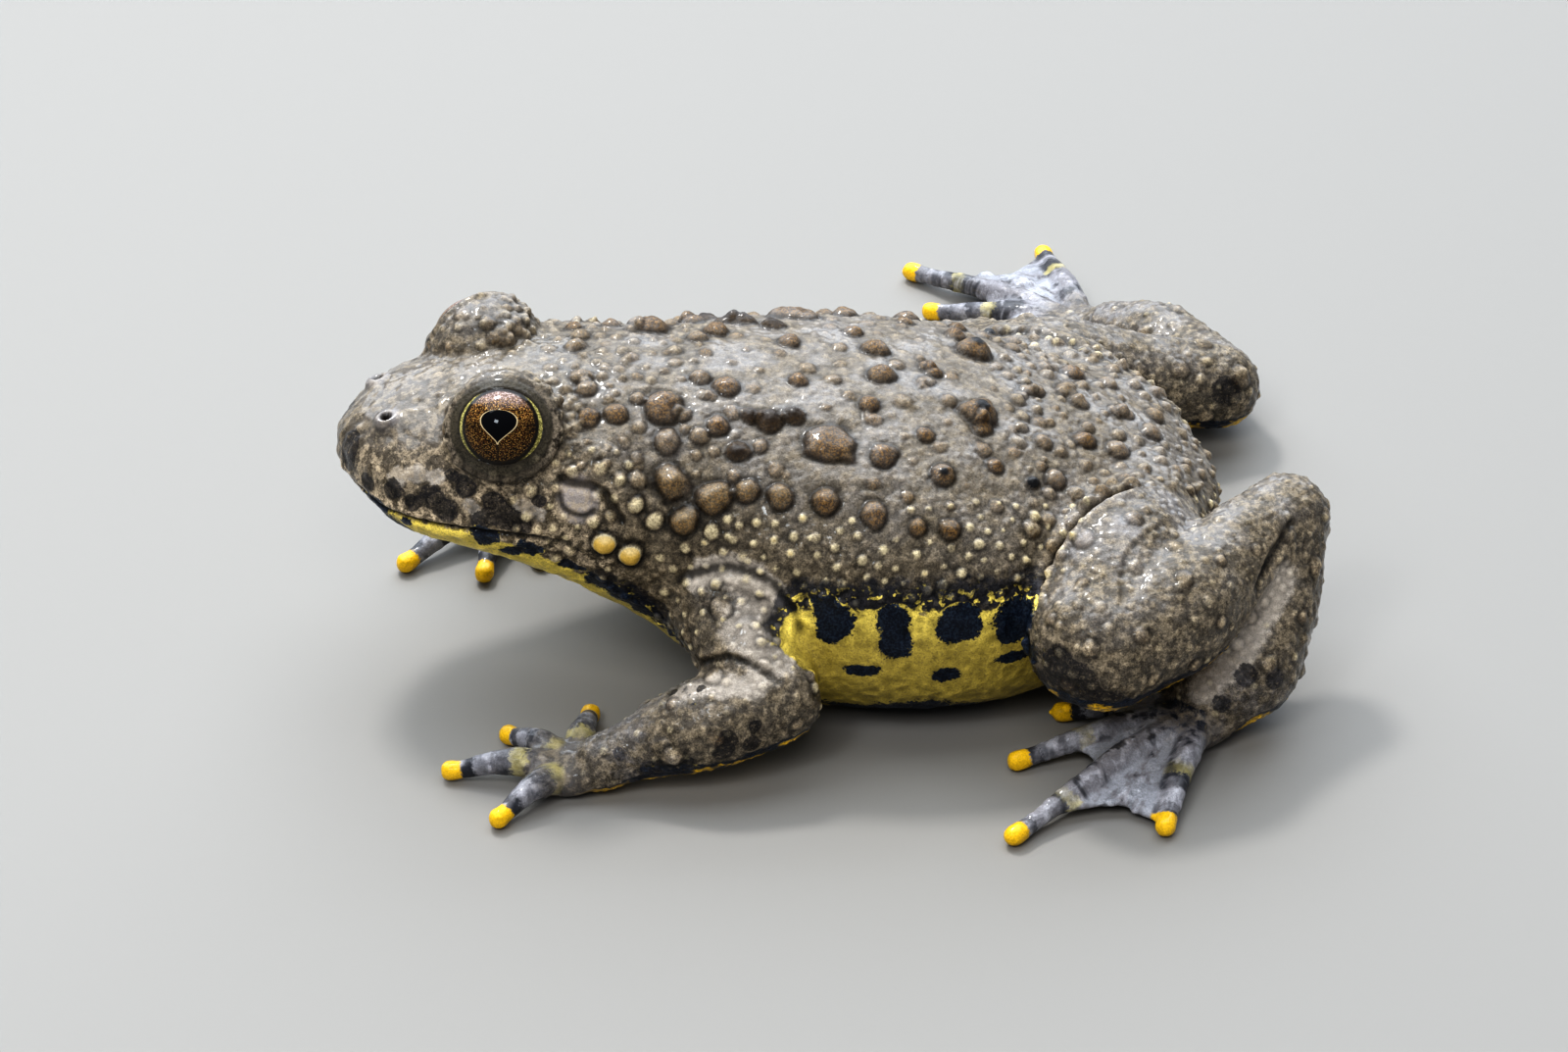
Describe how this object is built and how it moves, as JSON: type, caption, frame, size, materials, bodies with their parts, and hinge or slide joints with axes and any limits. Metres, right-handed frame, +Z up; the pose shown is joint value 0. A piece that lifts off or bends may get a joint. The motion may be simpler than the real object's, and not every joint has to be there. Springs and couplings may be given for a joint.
{
  "type": "yellow-bellied toad",
  "caption": "Life-size still model of a small warty toad sitting low with its head raised, eyes bulging and one hind foot spread out to the side.",
  "frame": {"origin": "on the floor, under the front of the flat that the belly rests on, in the trunk's middle plane", "axes": "+X towards the rump, so the head looks along -X; +Y towards the toad's right side; +Z up"},
  "size_m": [0.0497, 0.0565, 0.0189],
  "materials": {
    "skin": "wet, warty, grey-brown above and yellow with blue-black blotches below",
    "eye": "wet and glossy, copper-gold iris with a black drop-shaped pupil"
  },
  "bodies": {
    "root": {"head": "skin", "torso": "skin", "eye_left": "eye", "eye_right": "eye", "upper_arm_left": "skin", "upper_arm_right": "skin", "forearm_left": "skin", "forearm_right": "skin", "hand_left": "skin", "hand_right": "skin", "thigh_left": "skin", "thigh_right": "skin", "shank_left": "skin", "shank_right": "skin", "tarsus_left": "skin", "tarsus_right": "skin", "foot_left": "skin", "foot_right": "skin"}
  },
  "joints": []
}
